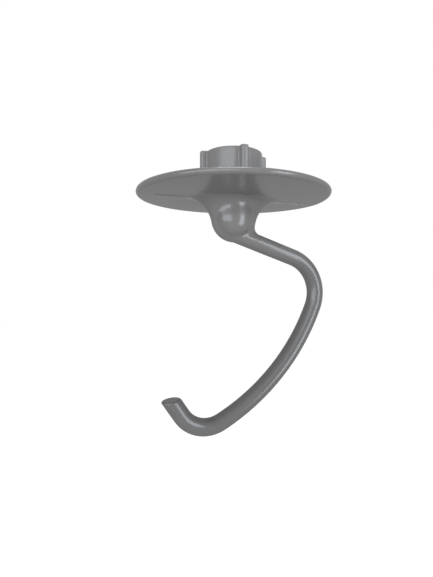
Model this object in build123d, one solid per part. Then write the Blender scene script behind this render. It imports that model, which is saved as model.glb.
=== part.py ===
from build123d import *
import os
from math import atan2, cos, radians, sin, sqrt

# A dough hook for a stand mixer, cast in one piece. Millimetres, +Z up along the drive axis.
# The origin is the middle of the drive socket's mouth, on top of the hub.
# The bent rod lies in the XZ plane, and its arm leaves the neck towards +X.

# Drive hub, and the lugs that take the turning force
hub_radius = 15.0
hub_height = 20.0
hub_edge_chamfer = 0.5
hub_collar_width = 1.2
lug_count = 4
lug_height = 3.1
lug_width = 4.0
lug_nose_radius = 1.4
lug_root_radius = 0.8

# Blind socket for the drive spindle
socket_radius = 10.0
socket_depth = 16.0

# Guard disc that keeps the dough down, with a fully rounded rim
disc_radius = 50.0
disc_thickness = 3.6

# Neck: a knob flattened across the hook's plane, flaring out to the disc
knob_radius = 12.3
knob_half_thickness = 6.4
knob_drop = 10.3
flare_radius = 14.5
flare_sink = 0.3

# Domed boss on each flat side of the knob
boss_radius = 9.2
boss_height = 6.8
boss_offset = 3.2
boss_setback = 0.9
boss_root_radius = 1.8

# Bent rod: arm, shoulder, long sweep, toe and tip, all of one round section
rod_radius = 4.5
arm_slope = 19.2
arm_inset = 0.7
arm_length = 39.1
arm_root_radius = 4.0
arm_root_sink = 0.3
shoulder_radius = 20.8
shoulder_angle = 92.8
sweep_radius = 113.5
sweep_angle = 41.2
toe_radius = 16.0
toe_angle = 83.5
tip_length = 10.3
tip_cut_slope = 7.0
tip_edge_radius = 1.1

# Sections drawn between the plain rod and the full swelling of the arm's root
arm_root_steps = 5

# Places that follow from the sizes above
lug_reach = hub_radius + lug_height
disc_top = -hub_height
disc_underside = disc_top - disc_thickness
knob_height = disc_underside - knob_drop

# The arm's line passes below the knob's middle, so that its lower side lies just inside the knob's outline.
# Along the arm, places are measured from the foot of the knob's middle on that line.
arm_heading = Vector(cos(radians(arm_slope)), 0, -sin(radians(arm_slope)))
arm_upward = Vector(sin(radians(arm_slope)), 0, cos(radians(arm_slope)))
arm_depth = knob_radius - rod_radius - arm_inset
arm_foot = Vector(0, 0, knob_height) - arm_upward * arm_depth

# The arm's root swells along an arc that touches the arm's top and all but touches the knob
root_arc_rise = rod_radius + arm_root_radius - arm_depth
root_arc_reach = sqrt((knob_radius - arm_root_sink + arm_root_radius) ** 2 - root_arc_rise**2)
root_arc_turn = atan2(root_arc_reach, root_arc_rise)


def from_axis(corner):
    return corner.center().length


def drive_hub():
    # A round with lugs that have blunt noses and eased roots, drawn up from the disc's underside
    plan = Circle(hub_radius)
    for lug in PolarLocations(0, lug_count):
        plan += lug * Rectangle(lug_reach, lug_width, align=(Align.MIN, Align.CENTER))
    corners = 2 * lug_count
    plan = fillet(plan.vertices().sort_by(from_axis)[-corners:], lug_nose_radius)
    plan = fillet(plan.vertices().sort_by(from_axis)[:corners], lug_root_radius)
    hub = Pos(0, 0, disc_underside) * extrude(plan, -disc_underside)
    return chamfer(hub.edges().group_by(Axis.Z)[-1], hub_edge_chamfer)


def guard_disc():
    # Half section of the disc, turned about the drive axis
    flat_reach = disc_radius - disc_thickness / 2
    rim_top = (flat_reach, disc_top)
    rim_bottom = (flat_reach, disc_underside)
    rim_middle = (disc_radius, (disc_top + disc_underside) / 2)
    outline = Polyline(rim_bottom, (0, disc_underside), (0, disc_top), rim_top)
    outline += ThreePointArc(rim_top, rim_middle, rim_bottom)
    return revolve(Plane.XZ * make_face(outline), Axis.Z)


def head():
    # Hub and disc together, with a sloped collar around the hub's foot
    standing = (Align.CENTER, Align.CENTER, Align.MIN)
    collar = Cone(hub_radius + hub_collar_width, hub_radius, hub_collar_width, align=standing)
    return drive_hub() + guard_disc() + Pos(0, 0, disc_top) * collar


def neck():
    # Half section of a round neck: a ball under the disc and a hollow arc that touches the ball.
    # The arc's upper end runs into the disc, so the neck meets the disc at a shallow angle.
    neck_top = disc_underside + flare_sink
    flare_height = neck_top - flare_radius
    rise = flare_height - knob_height
    reach = knob_radius + flare_radius
    flare_centre = sqrt(reach**2 - rise**2)
    touch = (flare_centre * knob_radius / reach, knob_height + rise * knob_radius / reach)
    knob_bottom = (0, knob_height - knob_radius)
    outline = Polyline(knob_bottom, (0, neck_top), (flare_centre, neck_top))
    outline += RadiusArc((flare_centre, neck_top), touch, -flare_radius)
    outline += RadiusArc(touch, knob_bottom, knob_radius)
    round_neck = revolve(Plane.XZ * make_face(outline), Axis.Z)
    return scale(round_neck, by=(1, knob_half_thickness / knob_radius, 1))


def arm_root():
    # The rod's round section grows taller towards the knob and then runs on inside it
    sections = []
    for step in range(arm_root_steps + 1):
        turn = root_arc_turn * step / arm_root_steps
        along = root_arc_reach - arm_root_radius * sin(turn)
        swell = arm_root_radius * (1 - cos(turn))
        middle = arm_foot + arm_heading * along + arm_upward * swell / 2
        section = Plane(middle, x_dir=arm_upward, z_dir=arm_heading)
        sections.append(section * Ellipse(rod_radius + swell / 2, rod_radius))
    return loft(sections) + extrude(sections[-1], -along)


def rod_path():
    # Plain part of the arm, then three bends that each carry on from the one before
    start = arm_foot + arm_heading * root_arc_reach
    heading = (arm_heading.X, arm_heading.Z)
    arm = PolarLine((start.X, start.Z), arm_length - root_arc_reach, direction=heading)
    shoulder = JernArc(arm @ 1, arm % 1, shoulder_radius, -shoulder_angle)
    long_sweep = JernArc(shoulder @ 1, shoulder % 1, sweep_radius, -sweep_angle)
    toe = JernArc(long_sweep @ 1, long_sweep % 1, toe_radius, -toe_angle)
    tip = PolarLine(toe @ 1, tip_length, direction=toe % 1)
    return Plane.XZ * (arm + shoulder + long_sweep + toe + tip)


def bent_rod():
    # The rod runs on past its tip, is cut off flatter than square, and the cut edge is eased
    path = rod_path()
    tip = path @ 1
    overrun = 2 * rod_radius
    rod = sweep(Plane(path @ 0, z_dir=path % 0) * Circle(rod_radius), path=path)
    rod += extrude(Plane(tip, z_dir=path % 1) * Circle(rod_radius), overrun)
    waste = Box(3 * overrun, 2 * overrun, 2 * overrun, align=(Align.CENTER, Align.CENTER, Align.MIN))
    rod -= Pos(tip) * Rot(0, -tip_cut_slope, 0) * waste
    tip_face = rod.faces().sort_by_distance(tip)[0]
    return fillet(tip_face.edges(), tip_edge_radius)


def boss():
    # A ball flattened along Y
    return scale(Sphere(boss_radius), by=(1, boss_height / boss_radius, 1))


def neck_with_bosses():
    # A boss set into each flat side of the knob, with a hollow fillet around it
    knob = neck()
    bosses = [Pos(-boss_setback, side * boss_offset, knob_height) * boss() for side in (-1, 1)]
    joined = knob + bosses
    return fillet(new_edges(knob, *bosses, combined=joined), boss_root_radius)


def drive_socket():
    # Blind bore from the top of the hub
    return Cylinder(socket_radius, socket_depth, align=(Align.CENTER, Align.CENTER, Align.MAX))


hook = arm_root() + bent_rod()
dough_hook = head() + neck_with_bosses() + hook - drive_socket()

os.makedirs("parts", exist_ok=True)
export_step(dough_hook, "parts/dough_hook.step")
box = dough_hook.bounding_box()
print("dough_hook", dough_hook.is_valid, len(dough_hook.solids()), "solid", round(dough_hook.volume), "mm3")
print("size", [round(v, 1) for v in box.size], "from", [round(v, 1) for v in box.min])
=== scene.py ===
import bpy
import bmesh
from math import atan2, cos, degrees, hypot, pi, radians, sin, sqrt, tan
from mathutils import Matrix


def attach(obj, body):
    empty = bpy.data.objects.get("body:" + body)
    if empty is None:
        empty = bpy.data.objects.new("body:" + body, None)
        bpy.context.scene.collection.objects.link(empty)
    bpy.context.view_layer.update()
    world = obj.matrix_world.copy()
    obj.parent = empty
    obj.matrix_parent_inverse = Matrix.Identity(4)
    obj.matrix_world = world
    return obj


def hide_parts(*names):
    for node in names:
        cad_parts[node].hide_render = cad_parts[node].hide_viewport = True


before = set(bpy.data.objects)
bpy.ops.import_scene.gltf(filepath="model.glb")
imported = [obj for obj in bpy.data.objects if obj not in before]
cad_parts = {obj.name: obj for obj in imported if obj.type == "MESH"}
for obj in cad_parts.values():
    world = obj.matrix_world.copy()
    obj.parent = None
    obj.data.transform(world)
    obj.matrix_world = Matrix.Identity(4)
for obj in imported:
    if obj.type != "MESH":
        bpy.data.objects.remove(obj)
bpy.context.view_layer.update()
mm = 0.001  # the hook's sizes are in millimetres, Blender works in metres
scene = bpy.context.scene
print("frame loaded")


# Small helpers, and what they share

casting = {"mergeGap": 0.002, "smoothing": 0.5, "leastWeight": 0.01, "crease": 35, "normalWeight": 60}


def pickNone():
    bpy.ops.object.select_all(action="DESELECT")


def pickOnly(obj):
    pickNone()
    obj.select_set(True)
    bpy.context.view_layer.objects.active = obj


def openEdit(obj):
    pickOnly(obj)
    bpy.ops.object.mode_set(mode="EDIT")
    bpy.ops.mesh.select_mode(type="VERT")
    bpy.ops.mesh.select_all(action="DESELECT")


def closeEdit():
    bpy.ops.object.mode_set(mode="OBJECT")


def pickAll():
    bpy.ops.mesh.select_all(action="SELECT")


def pickVerts(obj, test):
    bpy.ops.mesh.select_mode(type="VERT")
    bpy.ops.mesh.select_all(action="DESELECT")
    mesh = bmesh.from_edit_mesh(obj.data)
    for v in mesh.verts:
        v.select_set(test(v.co))
    mesh.select_flush(True)
    bmesh.update_edit_mesh(obj.data)


def pickEdges(obj, test):
    bpy.ops.mesh.select_mode(type="EDGE")
    bpy.ops.mesh.select_all(action="DESELECT")
    mesh = bmesh.from_edit_mesh(obj.data)
    for e in mesh.edges:
        e.select_set(test(e))
    mesh.select_flush_mode()
    bmesh.update_edit_mesh(obj.data)


def faceOut():
    pickAll()
    bpy.ops.mesh.normals_make_consistent(inside=False)


def applyModifier(obj, kind, **settings):
    pickOnly(obj)
    modifier = obj.modifiers.new(kind.title(), kind)
    for key, value in settings.items():
        setattr(modifier, key, value)
    bpy.ops.object.modifier_apply(modifier=modifier.name)


def settle(obj):  # puts an object's place into its mesh
    pickOnly(obj)
    bpy.ops.object.transform_apply(location=True, rotation=True, scale=True)


def combine(obj, other, operation):  # solid boolean, the second object goes
    applyModifier(obj, "BOOLEAN", operation=operation, solver="EXACT", object=other)
    bpy.data.objects.remove(other)


def joinTo(obj, others):
    pickOnly(obj)
    for other in others:
        other.select_set(True)
    bpy.ops.object.join()


def ease(obj, steps, band=""):
    applyModifier(obj, "SMOOTH", factor=casting["smoothing"], iterations=steps, vertex_group=band)


def castSkin(obj, voxel, steps):  # melts a shape into one closed skin and eases its edges
    applyModifier(obj, "REMESH", mode="VOXEL", voxel_size=voxel * mm, adaptivity=0)
    ease(obj, steps)


def smoothAll(obj):
    pickOnly(obj)
    bpy.ops.object.shade_smooth()


def smoothEdged(obj):  # smooth, with the sharp edges kept
    pickOnly(obj)
    bpy.ops.object.shade_smooth_by_angle(angle=radians(casting["crease"]))
    applyModifier(obj, "WEIGHTED_NORMAL", mode="FACE_AREA", weight=casting["normalWeight"], keep_sharp=True)


def seedPoint(name, x, z):  # a plane pinched to one point, the start of a profile in the XZ plane
    pickNone()
    bpy.ops.mesh.primitive_plane_add(size=mm)
    obj = bpy.context.object
    obj.name = name
    openEdit(obj)
    pickAll()
    bpy.ops.mesh.merge(type="CENTER")
    bpy.ops.transform.translate(value=(x * mm, 0, z * mm))
    return obj


def drawBy(dx, dz):
    bpy.ops.mesh.extrude_region_move(TRANSFORM_OT_translate={"value": (dx * mm, 0, dz * mm)})


def drawArc(cx, cz, turn, steps):  # turn in degrees, anticlockwise with X right and Z up
    bpy.ops.mesh.spin(steps=steps, angle=radians(turn), center=(cx * mm, 0, cz * mm), axis=(0, 1, 0))


def turnProfile(steps):  # the whole profile once round the drive axis
    pickAll()
    bpy.ops.mesh.spin(steps=steps, angle=2 * pi, center=(0, 0, 0), axis=(0, 0, 1))
    pickAll()
    bpy.ops.mesh.remove_doubles(threshold=casting["mergeGap"] * mm)
    faceOut()
    closeEdit()


# Guard disc and lugged hub

head = {
    "discRadius": 50.0,
    "discThickness": 3.6,
    "discSteps": 192,
    "rimSteps": 18,
    "draft": 0.7,  # degrees
    "hubRadius": 15.0,
    "hubHeight": 20.0,
    "hubSteps": 128,
    "lugReach": 18.1,
    "lugWidth": 4.0,
    "lugNose": 1.4,
    "lugNoseSteps": 6,
    "collar": 1.2,
    "collarSink": 0.5,
    "collarLap": 0.3,
    "socketRadius": 10.0,
    "socketDepth": 16.0,
    "socketOverrun": 2.0,
    "voxel": 0.33,
    "settleSteps": 10,
}
discTop = -head["hubHeight"]
discUnder = discTop - head["discThickness"]


def giveDraft(obj, none, full):  # the two mould halves leave the underside a shallow ridge along X
    rise = tan(radians(head["draft"]))
    for v in obj.data.vertices:
        share = (v.co.z / mm - none) / (full - none)
        v.co.z += rise * abs(v.co.y) * min(max(share, 0), 1)


def makeDisc():
    rim = head["discThickness"] / 2
    flat = head["discRadius"] - rim
    disc = seedPoint("hookHead", 0, discUnder)
    drawBy(flat, 0)
    drawArc(flat, discUnder + rim, 180, head["rimSteps"])
    drawBy(-flat, 0)
    turnProfile(head["discSteps"])
    giveDraft(disc, discTop, discUnder)
    smoothEdged(disc)
    return disc


def makeRound(name, low, high, footRadius, topRadius):  # an upright round between two heights
    pickNone()
    bpy.ops.mesh.primitive_cone_add(vertices=head["hubSteps"], radius1=footRadius * mm, radius2=topRadius * mm,
                                    depth=(high - low) * mm, location=(0, 0, (low + high) / 2 * mm))
    solid = bpy.context.object
    solid.name = name
    settle(solid)
    return solid


def makeLugBar(wide, deep, foot):  # one bar across the hub gives two lugs
    pickNone()
    bpy.ops.mesh.primitive_cube_add(size=1, location=(0, 0, foot / 2 * mm))
    bar = bpy.context.object
    bar.scale = (wide * mm, deep * mm, -foot * mm)
    settle(bar)
    openEdit(bar)
    pickEdges(bar, lambda e: abs(e.verts[0].co.z - e.verts[1].co.z) > -foot * mm / 2)  # the upright ones
    bpy.ops.mesh.bevel(offset=head["lugNose"] * mm, segments=head["lugNoseSteps"], affect="EDGES",
                       clamp_overlap=False)
    closeEdit()
    return bar


def makeHub():  # stands in the disc, and is eased all over as a casting is
    foot = discTop - head["discThickness"] / 2
    radius, collar, sink = head["hubRadius"], head["collar"], head["collarSink"]
    across, narrow = 2 * head["lugReach"], head["lugWidth"]
    hub = makeRound("hookHub", foot, 0, radius, radius)
    for wide, deep in ((across, narrow), (narrow, across)):
        combine(hub, makeLugBar(wide, deep, foot), "UNION")
    ring = makeRound("collar", discTop - sink, discTop + collar, radius + collar + sink,
                     radius - head["collarLap"])
    combine(hub, ring, "UNION")
    bore = makeRound("socket", -head["socketDepth"], head["socketOverrun"], head["socketRadius"],
                     head["socketRadius"])
    combine(hub, bore, "DIFFERENCE")
    castSkin(hub, head["voxel"], head["settleSteps"])
    smoothAll(hub)
    return hub


hookHead = makeDisc()
hookHub = makeHub()
print("disc and hub made", len(hookHead.data.polygons), len(hookHub.data.polygons))


# Parting lines that the mould left under the disc

parting = {
    "from": 24.5,
    "to": 41.5,
    "width": 0.35,
    "stand": 0.22,
    "sink": 0.66,
    "edgeShare": 0.3,  # of the width, left at the lower edge
    "endTaper": 0.3,
}


def makePartingLine(side):
    long = parting["to"] - parting["from"]
    middle = (parting["from"] + parting["to"]) / 2
    pickNone()
    bpy.ops.mesh.primitive_cube_add(size=1)
    line = bpy.context.object
    line.scale = (long * mm, parting["width"] * mm, (parting["stand"] + parting["sink"]) * mm)
    line.location = (side * middle * mm, 0, (discUnder + (parting["sink"] - parting["stand"]) / 2) * mm)
    settle(line)
    openEdit(line)
    pickVerts(line, lambda co: co.z < discUnder * mm)
    bpy.ops.transform.resize(value=(1 - parting["endTaper"] / long, parting["edgeShare"], 1))
    closeEdit()
    return line


partingLines = makePartingLine(-1)
joinTo(partingLines, [makePartingLine(1)])
partingLines.name = "partingLines"
print("parting lines made")


# Neck with its bosses and the arm's root, and the bent rod

neck = {
    "knobRadius": 12.3,
    "halfThickness": 6.4,
    "knobDrop": 10.3,
    "knobSteps": 60,
    "flareRadius": 14.5,
    "flareSteps": 50,
    "skirt": 2.5,
    "skirtStand": 0.02,
    "bossHalf": (9.6, 6.8, 10.0),
    "bossStretch": 1.7,
    "bossOffset": 3.2,
    "bossSetback": 0.5,
    "bossRaise": 0.4,
    "bossFineness": 6,
    "steps": 128,
}
rod = {
    "radius": 4.5,
    "slope": 19.2,
    "inset": 0.7,
    "arm": 39.1,
    "rootArc": 4.0,
    "rootSteps": 12,
    "rootThin": 0.06,
    "webShare": 0.6,
    "overlap": 5.0,
    "shoulder": (20.8, 92.8, 60),  # radius, degrees and steps of each bend
    "sweep": (113.5, 41.2, 90),
    "toe": (16.0, 83.5, 50),
    "tip": 10.3,
    "tipCut": 7.0,
    "tipEdge": 1.1,
    "tipEdgeSteps": 6,
    "tipNear": 3.2,  # how far the cut looks, in rod radii
    "cutSlack": 0.02,
    "around": 96,
}
skin = {
    "voxel": 0.3,
    "settleSteps": 16,
    "rootSteps": 400,
    "rootReach": 6.5,
    "rootFlat": 0.6,
    "bossSteps": 130,
    "bossReach": 4.0,
    "creaseAside": 7.0,
    "creaseDrop": 7.0,
    "creaseReach": 8.0,
    "topSteps": 700,
    "topReach": 10.5,
    "topRaise": 7.0,
    "topAside": 2.5,
    "draftFrom": 2.0,
    "draftFull": 0.2,
}
knobHeight = discUnder - neck["knobDrop"]
bossX, bossZ = -neck["bossSetback"], knobHeight + neck["bossRaise"]
slope = radians(rod["slope"])
armDepth = neck["knobRadius"] - rod["radius"] - rod["inset"]
armFoot = (-sin(slope) * armDepth, knobHeight - cos(slope) * armDepth)
rootRise = rod["radius"] + rod["rootArc"] - armDepth
armStart = sqrt((neck["knobRadius"] + rod["rootArc"]) ** 2 - rootRise ** 2)  # the plain rod begins here


def onArm(along, up):  # a place in the hook's plane, along the arm from its foot and up from its line
    return (armFoot[0] + along * cos(slope) + up * sin(slope),
            armFoot[1] - along * sin(slope) + up * cos(slope))


def makeNeck():
    top = discUnder - neck["skirtStand"]  # a thin skirt lies against the disc, so the flare runs out smoothly
    flareZ = top - neck["flareRadius"]
    rise = flareZ - knobHeight
    reach = neck["knobRadius"] + neck["flareRadius"]
    flareX = sqrt(reach ** 2 - rise ** 2)
    swing = degrees(atan2(rise, flareX))
    body = seedPoint("hookNeck", 0, knobHeight - neck["knobRadius"])
    drawArc(0, knobHeight, 90 + swing, neck["knobSteps"])
    drawArc(flareX, flareZ, -(90 + swing), neck["flareSteps"])
    drawBy(neck["skirt"], 0)
    drawBy(0, head["discThickness"] / 2)
    drawBy(-flareX - neck["skirt"], 0)
    turnProfile(neck["steps"])
    body.scale = (1, neck["halfThickness"] / neck["knobRadius"], 1)
    settle(body)
    return body


def makeBoss(side):
    pickNone()
    bpy.ops.mesh.primitive_ico_sphere_add(subdivisions=neck["bossFineness"], radius=mm)
    boss = bpy.context.object
    boss.scale = neck["bossHalf"]
    openEdit(boss)
    pickVerts(boss, lambda co: co.z > 0)
    bpy.ops.transform.resize(value=(1, 1, neck["bossStretch"]), center_override=(0, 0, 0))  # up into the flare
    closeEdit()
    boss.location = (bossX * mm, side * neck["bossOffset"] * mm, bossZ * mm)
    settle(boss)
    return boss


def makeArmRoot():  # a web drawn lying along X from inside the rod to inside the knob, then tilted into place
    thin = rod["radius"] - rod["rootThin"]
    along, low, tall, wide = armStart + rod["overlap"], thin, 2 * thin, thin
    pickNone()
    bpy.ops.mesh.primitive_circle_add(vertices=rod["around"], radius=thin * mm, fill_type="NGON",
                                      location=(along * mm, 0, 0), rotation=(0, -pi / 2, 0))
    root = bpy.context.object
    settle(root)
    openEdit(root)
    pickAll()
    fullTurn = atan2(armStart, rootRise)
    for step in range(rod["rootSteps"] + 1):
        share = step / rod["rootSteps"]
        turn = fullTurn * share
        nextAlong = armStart - rod["rootArc"] * sin(turn)
        nextTall = 2 * rod["radius"] + rod["rootArc"] * (1 - cos(turn))
        nextWide = rod["radius"] * (1 - (1 - rod["webShare"]) * share)
        drawBy(nextAlong - along, 0)
        bpy.ops.transform.resize(value=(1, nextWide / wide, nextTall / tall),
                                 center_override=(nextAlong * mm, 0, -low * mm))
        if step == 0:  # from the thin start out to the rod's own underside
            bpy.ops.transform.translate(value=(0, 0, (low - rod["radius"]) * mm))
        along, low, tall, wide = nextAlong, rod["radius"], nextTall, nextWide
    drawBy(-along, 0)
    faceOut()
    closeEdit()
    root.rotation_euler = (0, slope, 0)
    root.location = (armFoot[0] * mm, 0, armFoot[1] * mm)
    settle(root)
    return root


def makeArmStub():  # the plain rod runs on into the knob under that web
    x, z = onArm(armStart / 2, 0)
    pickNone()
    bpy.ops.mesh.primitive_cylinder_add(vertices=rod["around"], radius=rod["radius"] * mm, depth=armStart * mm,
                                        location=(x * mm, 0, z * mm), rotation=(0, pi / 2 + slope, 0))
    stub = bpy.context.object
    settle(stub)
    return stub


def fade(distance, reach):
    t = min(max(1 - distance / reach, 0), 1)
    return t * t * (3 - 2 * t)


def nearArmRoot(co):
    x, z = onArm(armStart - rod["rootArc"], rod["radius"])
    return fade(hypot(hypot(co.x - x, co.z - z), skin["rootFlat"] * co.y), skin["rootReach"])


def nearBossRoot(co):
    halfX, _, halfZ = neck["bossHalf"]
    up = co.z - bossZ
    away = hypot((co.x - bossX) / halfX, up / halfZ / (neck["bossStretch"] if up > 0 else 1))
    crisp = fade(hypot(co.x - skin["creaseAside"], co.z - knobHeight + skin["creaseDrop"]),
                 skin["creaseReach"])  # the arm's own crease stays as it is
    return fade(abs(away - 1) * halfX, skin["bossReach"]) * (1 - crisp)


def nearBossTop(co):  # the boss runs softly into the flare above it
    return fade(hypot(co.x - bossX + skin["topAside"], co.z - bossZ - skin["topRaise"]), skin["topReach"])


def easeBand(obj, name, weightAt, steps):  # eases the skin further where the weight says so
    group = obj.vertex_groups.new(name=name)
    for v in obj.data.vertices:
        weight = weightAt(v.co / mm)
        if weight > casting["leastWeight"]:
            group.add([v.index], weight, "REPLACE")
    ease(obj, steps, name)


def makeNeckSkin():  # neck, bosses and arm root as one cast skin
    body = makeNeck()
    joinTo(body, [makeBoss(-1), makeBoss(1), makeArmRoot(), makeArmStub()])
    castSkin(body, skin["voxel"], skin["settleSteps"])
    easeBand(body, "armRoot", nearArmRoot, skin["rootSteps"])
    easeBand(body, "bossRoot", nearBossRoot, skin["bossSteps"])
    easeBand(body, "bossTop", nearBossTop, skin["topSteps"])
    body.vertex_groups.clear()
    giveDraft(body, discUnder - skin["draftFrom"], discUnder - skin["draftFull"])
    smoothAll(body)
    return body


def turned(x, z, angle):
    return x * cos(angle) - z * sin(angle), x * sin(angle) + z * cos(angle)


def cutTip(bar, x, z):  # cut off flatter than square, with the edge eased
    cut = radians(rod["tipCut"])
    near = rod["tipNear"] * rod["radius"] * mm
    slack = rod["cutSlack"] * mm
    pickVerts(bar, lambda co: hypot(co.x - x * mm, co.z - z * mm) < near)
    bpy.ops.mesh.bisect(plane_co=(x * mm, 0, z * mm), plane_no=(-sin(cut), 0, cos(cut)), use_fill=True,
                        clear_outer=True)
    pickEdges(bar, lambda e: all(abs(v.co.z - z * mm - (v.co.x - x * mm) * tan(cut)) < slack for v in e.verts))
    bpy.ops.mesh.bevel(offset=rod["tipEdge"] * mm, segments=rod["tipEdgeSteps"], affect="EDGES",
                       clamp_overlap=False)


def makeRod():
    ahead = (cos(slope), -sin(slope))
    x, z = onArm(armStart, 0)
    pickNone()
    bpy.ops.mesh.primitive_circle_add(vertices=rod["around"], radius=rod["radius"] * mm, fill_type="NGON",
                                      location=(x * mm, 0, z * mm), rotation=(0, pi / 2 + slope, 0))
    bar = bpy.context.object
    bar.name = "hookRod"
    settle(bar)
    openEdit(bar)
    pickAll()
    run = rod["arm"] - armStart
    drawBy(ahead[0] * run, ahead[1] * run)
    x, z = x + ahead[0] * run, z + ahead[1] * run
    for radius, turn, steps in (rod["shoulder"], rod["sweep"], rod["toe"]):
        cx, cz = x + ahead[1] * radius, z - ahead[0] * radius  # bends to the right of the way ahead
        drawArc(cx, cz, -turn, steps)
        dx, dz = turned(x - cx, z - cz, radians(-turn))
        x, z = cx + dx, cz + dz
        ahead = turned(*ahead, radians(-turn))
    over = rod["tip"] + 2 * rod["radius"]  # the rod runs on past its tip, and is then cut off
    drawBy(ahead[0] * over, ahead[1] * over)
    faceOut()
    cutTip(bar, x + ahead[0] * rod["tip"], z + ahead[1] * rod["tip"])
    closeEdit()
    smoothEdged(bar)
    return bar


hookNeck = makeNeckSkin()
hookRod = makeRod()
print("neck and rod made", len(hookNeck.data.polygons), len(hookRod.data.polygons))


# Grey coat

coat = {
    "tone": (0.200, 0.189, 0.179, 1),
    "toneThin": (0.212, 0.201, 0.191, 1),
    "toneSpan": (0.35, 0.65),
    "driftScale": 45.0,
    "driftDetail": 3.0,
    "hubFoot": (-20.0, -19.0),
    # painted light on the hub, as a share of the tone
    "hubPaintedLight": 1.2,
    "hubDull": 0.03,
    # the span and share of the painted shade down the rod
    "rodFade": (-64.0, -36.0),
    "rodPaintedShade": 0.76,
    "gloss": 0.2,
    "glossDrift": 0.03,
    "ior": 1.5,
    "waveScale": 140.0,
    "waveDetail": 1.0,
    "waveStrength": 0.03,
    "waveDepth": 0.5,
}


def addNode(tree, kind, values=None):
    node = tree.nodes.new(kind)
    for name, value in (values or {}).items():
        node.inputs[name].default_value = value
    return node


def link(tree, a, aName, b, bName):
    tree.links.new(a.outputs[aName], b.inputs[bName])


def byHeight(tree, height, span, values):
    node = addNode(tree, "ShaderNodeMapRange", {"From Min": span[0] * mm, "From Max": span[1] * mm,
                                                "To Min": values[0], "To Max": values[1]})
    node.interpolation_type = "SMOOTHSTEP"
    link(tree, height, "Z", node, "Value")
    return node


def reckon(tree, operation, first, second):
    node = addNode(tree, "ShaderNodeMath")
    node.operation = operation
    tree.links.new(first, node.inputs[0])
    tree.links.new(second, node.inputs[1])
    return node


def greyCoat():
    material = bpy.data.materials.new("greyCoat")
    material.use_nodes = True
    tree = material.node_tree
    shader = tree.nodes["Principled BSDF"]
    shader.inputs["Metallic"].default_value = 0.0
    shader.inputs["IOR"].default_value = coat["ior"]
    place = addNode(tree, "ShaderNodeTexCoord")
    height = addNode(tree, "ShaderNodeSeparateXYZ")
    link(tree, place, "Object", height, "Vector")

    drift = addNode(tree, "ShaderNodeTexNoise", {"Scale": coat["driftScale"], "Detail": coat["driftDetail"]})
    link(tree, place, "Object", drift, "Vector")
    tone = addNode(tree, "ShaderNodeValToRGB")
    tones = (coat["tone"], coat["toneThin"])
    for stop, position, colour in zip(tone.color_ramp.elements, coat["toneSpan"], tones):
        stop.position = position
        stop.color = colour
    link(tree, drift, "Fac", tone, "Fac")
    paintedLightOnHub = byHeight(tree, height, coat["hubFoot"], (1.0, coat["hubPaintedLight"]))  # painted light: the hub's colour is made paler, standing in for the light from above that reaches it over the disc
    paintedShadeOnRod = byHeight(tree, height, coat["rodFade"], (coat["rodPaintedShade"], 1.0))  # and painted shade: the colour darkens down the rod, standing in for the disc's shade from the light above
    share = reckon(tree, "MULTIPLY", paintedLightOnHub.outputs["Result"], paintedShadeOnRod.outputs["Result"])
    shaded = addNode(tree, "ShaderNodeVectorMath")
    shaded.operation = "SCALE"
    link(tree, tone, "Color", shaded, "Vector")
    link(tree, share, "Value", shaded, "Scale")
    link(tree, shaded, "Vector", shader, "Base Color")

    rough = addNode(tree, "ShaderNodeMapRange", {"To Min": coat["gloss"] - coat["glossDrift"],
                                                 "To Max": coat["gloss"] + coat["glossDrift"]})
    link(tree, drift, "Fac", rough, "Value")
    dull = byHeight(tree, height, coat["hubFoot"], (0.0, coat["hubDull"]))
    duller = reckon(tree, "ADD", rough.outputs["Result"], dull.outputs["Result"])
    link(tree, duller, "Value", shader, "Roughness")

    wave = addNode(tree, "ShaderNodeTexNoise", {"Scale": coat["waveScale"], "Detail": coat["waveDetail"]})
    link(tree, place, "Object", wave, "Vector")
    bump = addNode(tree, "ShaderNodeBump", {"Strength": coat["waveStrength"], "Distance": coat["waveDepth"] * mm})
    link(tree, wave, "Fac", bump, "Height")
    link(tree, bump, "Normal", shader, "Normal")
    return material


grey = greyCoat()
for piece in (hookHead, hookHub, hookNeck, hookRod, partingLines):
    piece.data.materials.clear()
    piece.data.materials.append(grey)
    if piece is not partingLines:
        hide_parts("dough_hook")
    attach(piece, "root")
print("coat on")


# Floor, light and camera

studio = {  # in metres
    "floorZ": -0.45,
    "aimZ": -0.06,
    "floorSize": 6.0,
    "floorTone": (0.8, 0.8, 0.8, 1),
    "floorRough": 0.9,
    "floorGleam": 0.9,
    "skyTone": (0.97, 0.98, 1.0, 1),
    "skyFill": 0.12,
    "floorFill": 0.44,
    "mirrored": 0.44,
    "paleTint": (0.97, 0.985, 1, 1),
    "white": (1, 1, 1, 1),
    "daylight": (0.86, 0.92, 1.0),
}
lamps = {  # degrees to the right of the camera and up, metres away, width and height in metres, watts
    "leftWindow": {"bearing": -26, "elevation": -1, "away": 0.8, "size": (0.95, 0.34), "power": 3.7},
    "leftGlow": {"bearing": -26, "elevation": 16, "away": 0.8, "size": (0.86, 0.24), "power": 1.6},
    "rightWindow": {"bearing": 53, "elevation": -3, "away": 0.8, "size": (0.32, 0.80), "power": 4.5},
    "backGlow": {"bearing": 180, "elevation": 40, "away": 0.9, "size": (1.60, 0.90), "power": 0.9},
    "topBox": {"bearing": 0, "elevation": 82, "away": 0.8, "size": (0.30, 0.30), "power": 2.4},
}
shot = {  # degrees and millimetres, with the focal length and the level view's middle in picture pixels
    "azimuth": -18.731,
    "distance": 199.75,
    "height": -63.567,
    "focal": 379.294,
    "middle": (233.676, 275.619),
    "picture": (433, 577),
    "nearest": 10.0,
}
mirrorRays = ("Is Glossy Ray", "Is Transmission Ray")


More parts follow.
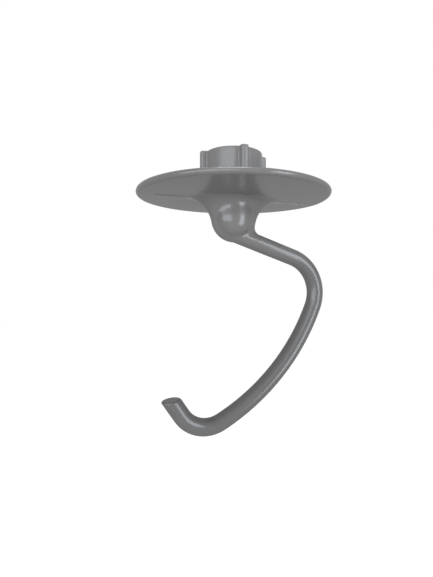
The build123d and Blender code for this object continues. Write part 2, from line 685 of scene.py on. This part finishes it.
def seenFrom(tree, rays, kind, tint, strength, below):  # a plain glow for the named rays, others see what is below
    path = addNode(tree, "ShaderNodeLightPath")
    fac = path.outputs[rays[0]]
    for ray in rays[1:]:
        fac = reckon(tree, "MAXIMUM", fac, path.outputs[ray]).outputs[0]
    glow = addNode(tree, kind, {"Color": tint, "Strength": strength})
    mix = addNode(tree, "ShaderNodeMixShader")
    for slot, output in enumerate((fac, below.outputs[0], glow.outputs[0])):
        tree.links.new(output, mix.inputs[slot])
    return mix


def makeAir():
    world = bpy.data.worlds.new("studioAir")
    scene.world = world
    world.use_nodes = True
    world.cycles.sampling_method = "NONE"
    tree = world.node_tree
    sky = tree.nodes["Background"]
    sky.inputs["Color"].default_value = studio["skyTone"]
    sky.inputs["Strength"].default_value = studio["skyFill"]
    look = seenFrom(tree, mirrorRays, "ShaderNodeBackground", studio["paleTint"], studio["mirrored"], sky)
    look = seenFrom(tree, ("Is Camera Ray",), "ShaderNodeBackground", studio["white"], 1.0, look)
    tree.links.new(look.outputs[0], tree.nodes["World Output"].inputs["Surface"])


def paleFloor():
    material = bpy.data.materials.new("paleFloor")
    material.use_nodes = True
    material.cycles.emission_sampling = "NONE"
    tree = material.node_tree
    paint = tree.nodes["Principled BSDF"]  # lit by the lamps, so it keeps the shadow
    paint.inputs["Base Color"].default_value = studio["floorTone"]
    paint.inputs["Roughness"].default_value = studio["floorRough"]
    gleam = addNode(tree, "ShaderNodeEmission", {"Strength": studio["floorGleam"]})
    both = addNode(tree, "ShaderNodeAddShader")
    tree.links.new(paint.outputs[0], both.inputs[0])
    tree.links.new(gleam.outputs[0], both.inputs[1])
    look = seenFrom(tree, mirrorRays, "ShaderNodeEmission", studio["paleTint"], studio["mirrored"], both)
    look = seenFrom(tree, ("Is Diffuse Ray",), "ShaderNodeEmission", studio["paleTint"], studio["floorFill"], look)
    tree.links.new(look.outputs[0], tree.nodes["Material Output"].inputs["Surface"])
    return material


def hangLamp(name, lamp):  # faces the hook
    bearing = radians(shot["azimuth"] + lamp["bearing"])
    rise = radians(lamp["elevation"])
    out = cos(rise) * lamp["away"]
    place = (sin(bearing) * out, -cos(bearing) * out, sin(rise) * lamp["away"] + studio["aimZ"])
    pickNone()
    bpy.ops.object.light_add(type="AREA", location=place, rotation=(pi / 2 - rise, 0, bearing))
    box = bpy.context.object
    box.name = name
    box.data.shape = "RECTANGLE"
    box.data.size, box.data.size_y = lamp["size"]
    box.data.energy = lamp["power"]
    box.data.color = studio["daylight"]


def setCamera():  # level, with the picture shifted instead of the camera tilted
    turn = radians(shot["azimuth"])
    away = shot["distance"] * mm
    pickNone()
    bpy.ops.object.camera_add(location=(sin(turn) * away, -cos(turn) * away, shot["height"] * mm),
                              rotation=(pi / 2, 0, turn))
    camera = bpy.context.object
    wide, tall = shot["picture"]
    middleX, middleY = shot["middle"]
    camera.data.lens = shot["focal"] * camera.data.sensor_width / tall
    camera.data.shift_x = (wide / 2 - middleX) / tall
    camera.data.shift_y = (middleY - tall / 2) / tall
    camera.data.clip_start = shot["nearest"] * mm
    scene.camera = camera


makeAir()
pickNone()
bpy.ops.mesh.primitive_plane_add(size=studio["floorSize"], location=(0, 0, studio["floorZ"]))
floor = bpy.context.object
floor.name = "floor"
settle(floor)
floor.data.materials.append(paleFloor())
for name, lamp in lamps.items():
    hangLamp(name, lamp)
print("floor and lamps set")

setCamera()
scene.view_settings.view_transform = "Standard"
print("camera set")
